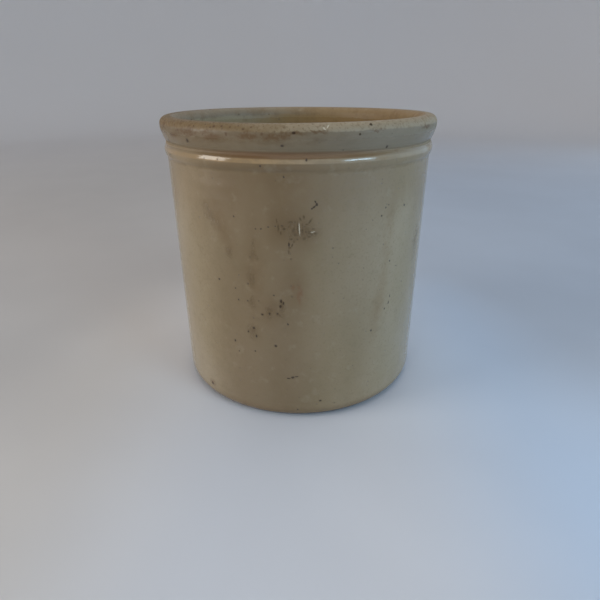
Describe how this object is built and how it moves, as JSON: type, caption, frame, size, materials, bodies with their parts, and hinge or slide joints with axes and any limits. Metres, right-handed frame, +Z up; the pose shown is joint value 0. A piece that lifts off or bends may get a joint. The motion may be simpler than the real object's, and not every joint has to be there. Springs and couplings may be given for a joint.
{
  "type": "stoneware crock fermenter",
  "caption": "Open straight-sided stoneware crock with a rolled rim and a raised ring below it, with half-moon weight stones on its floor that lift out.",
  "frame": {"origin": "middle of the crock's flat base, at the bottom", "axes": "+Z up along the crock's axis, +X through the finger hole of weight_right, +Y along the slot between the weights"},
  "size_m": [0.1952, 0.1952, 0.201],
  "materials": {
    "glazed_stoneware": "glossy grey-buff glaze with iron specks, browner at the rim and inside",
    "bare_stoneware": "matt unglazed buff stoneware"
  },
  "bodies": {
    "crock": {"crock": "glazed_stoneware"},
    "weight_right": {"weight_right": "bare_stoneware"},
    "weight_left": {"weight_left": "bare_stoneware"}
  },
  "joints": [
    {"name": "weight_right_lift", "type": "slide", "parent": "crock", "child": "weight_right", "axis": [0, 0, 1], "range_m": [0, 0.21]},
    {"name": "weight_left_lift", "type": "slide", "parent": "crock", "child": "weight_left", "axis": [0, 0, 1], "range_m": [0, 0.21]}
  ]
}
